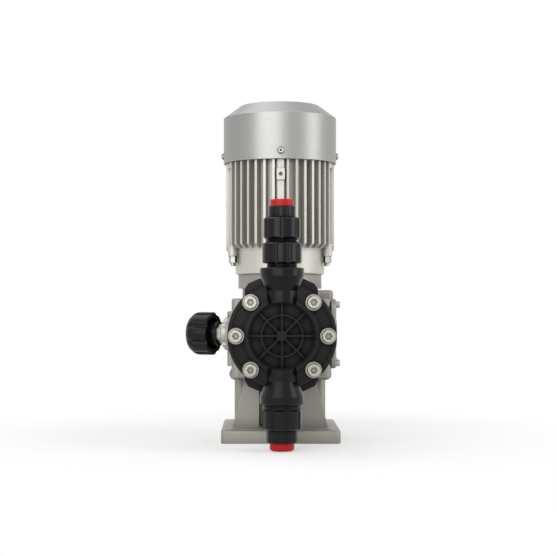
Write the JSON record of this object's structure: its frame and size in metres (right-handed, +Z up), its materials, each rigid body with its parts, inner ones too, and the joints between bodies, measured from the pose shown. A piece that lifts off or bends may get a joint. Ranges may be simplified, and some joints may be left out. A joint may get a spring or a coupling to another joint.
{
  "type": "diaphragm metering pump",
  "caption": "Motor-driven mechanical diaphragm metering pump with a round ribbed pump head, stroke knob, finned vertical motor and a pedestal foot.",
  "frame": {"origin": "centre of the four foot slots on the floor, under the motor axis", "axes": "+Z up along the motor axis, -Y out of the pump head's face, +X to the right seen from the front"},
  "size_m": [0.1669, 0.253, 0.3618],
  "materials": {
    "cast_aluminium": "silver powder coat",
    "frame_aluminium": "silver powder coat",
    "cowl_steel": "satin silver",
    "bearing_steel": "ground",
    "stainless": "turned",
    "shaft_steel": "ground",
    "lamination": "dark",
    "copper": "varnished",
    "bronze": "machined",
    "black_plastic": "moulded",
    "knob_plastic": "moulded",
    "red_plastic": "moulded",
    "white_plastic": "machined",
    "ceramic": "polished",
    "rubber": "moulded",
    "sight_glass": "clear"
  },
  "bodies": {
    "housing_body": {"housing": "cast_aluminium", "side_cover": "cast_aluminium", "motor_adapter": "cast_aluminium", "lower_end_shield": "cast_aluminium", "upper_end_shield": "cast_aluminium", "terminal_box": "cast_aluminium", "terminal_lid": "cast_aluminium", "motor_frame": "frame_aluminium", "fan_cowl": "cowl_steel", "wheel_bearings": "bearing_steel", "worm_bearings": "bearing_steel", "motor_bearings": "bearing_steel", "side_cover_screws": "stainless", "head_screws": "stainless", "head_washers": "stainless", "adapter_screws": "stainless", "tie_bolts": "stainless", "cowl_screws": "stainless", "lid_screws": "stainless", "adjuster_hub": "stainless", "return_spring": "stainless", "stator_core": "lamination", "stator_windings": "copper", "pushrod_bush": "bronze", "back_plate": "black_plastic", "pump_head": "black_plastic", "suction_body": "black_plastic", "suction_nut": "black_plastic", "suction_connector": "black_plastic", "discharge_body": "black_plastic", "discharge_cage": "black_plastic", "discharge_lower_nut": "black_plastic", "discharge_upper_nut": "black_plastic", "discharge_connector": "black_plastic", "scale_sleeve": "black_plastic", "cable_gland": "black_plastic", "suction_plug": "red_plastic", "discharge_plug": "red_plastic", "oil_plugs": "red_plastic", "valve_seats": "white_plastic", "valve_guides": "white_plastic", "diaphragm": "rubber", "rod_seal": "rubber", "valve_orings": "rubber", "level_sight": "sight_glass"},
    "rotor": {"motor_shaft": "shaft_steel", "worm_shaft": "shaft_steel", "rotor_core": "lamination", "cooling_fan": "black_plastic"},
    "wheel": {"worm_wheel": "bronze", "eccentric_shaft": "shaft_steel"},
    "pushrod_set": {"follower_disc": "shaft_steel", "pushrod": "shaft_steel", "diaphragm_insert": "shaft_steel"},
    "stop": {"stop_plunger": "stainless"},
    "knob": {"adjusting_knob": "knob_plastic", "knob_cap": "knob_plastic", "adjuster_spindle": "stainless"},
    "suction_ball_body": {"suction_ball": "ceramic"},
    "discharge_ball_body": {"discharge_ball": "ceramic"}
  },
  "joints": [
    {"name": "rotor_spin", "type": "hinge", "parent": "housing_body", "child": "rotor", "pos_m": [0, 0, 0.25], "axis": [0, 0, 1], "continuous": true},
    {"name": "wheel_spin", "type": "hinge", "parent": "housing_body", "child": "wheel", "pos_m": [0, -0.022, 0.1145], "axis": [1, 0, 0], "continuous": true},
    {"name": "stop_slide", "type": "slide", "parent": "housing_body", "child": "stop", "axis": [-0.9272, 0.3746, 0], "range_m": [0, 0.00187]},
    {"name": "knob_turn", "type": "hinge", "parent": "stop", "child": "knob", "pos_m": [-0.08367, -0.02803, 0.1145], "axis": [-0.9272, 0.3746, 0], "range_deg": [0, 539.43]},
    {"name": "pushrod_slide", "type": "slide", "parent": "housing_body", "child": "pushrod_set", "axis": [0, 1, 0], "range_m": [0, 0.005], "deforming": ["return_spring", "diaphragm"]},
    {"name": "suction_ball_lift", "type": "slide", "parent": "housing_body", "child": "suction_ball_body", "axis": [0, 0, 1], "range_m": [0, 0.003]},
    {"name": "discharge_ball_lift", "type": "slide", "parent": "housing_body", "child": "discharge_ball_body", "axis": [0, 0, 1], "range_m": [0, 0.003]}
  ],
  "couplings": [
    {"joint": "wheel_spin", "follows": "rotor_spin", "ratio": -0.033333},
    {"joint": "stop_slide", "follows": "knob_turn", "m_per_rad": 0.00019894},
    {"joint": "pushrod_slide", "follows": "knob_turn", "m_per_rad": 0.00053107}
  ]
}
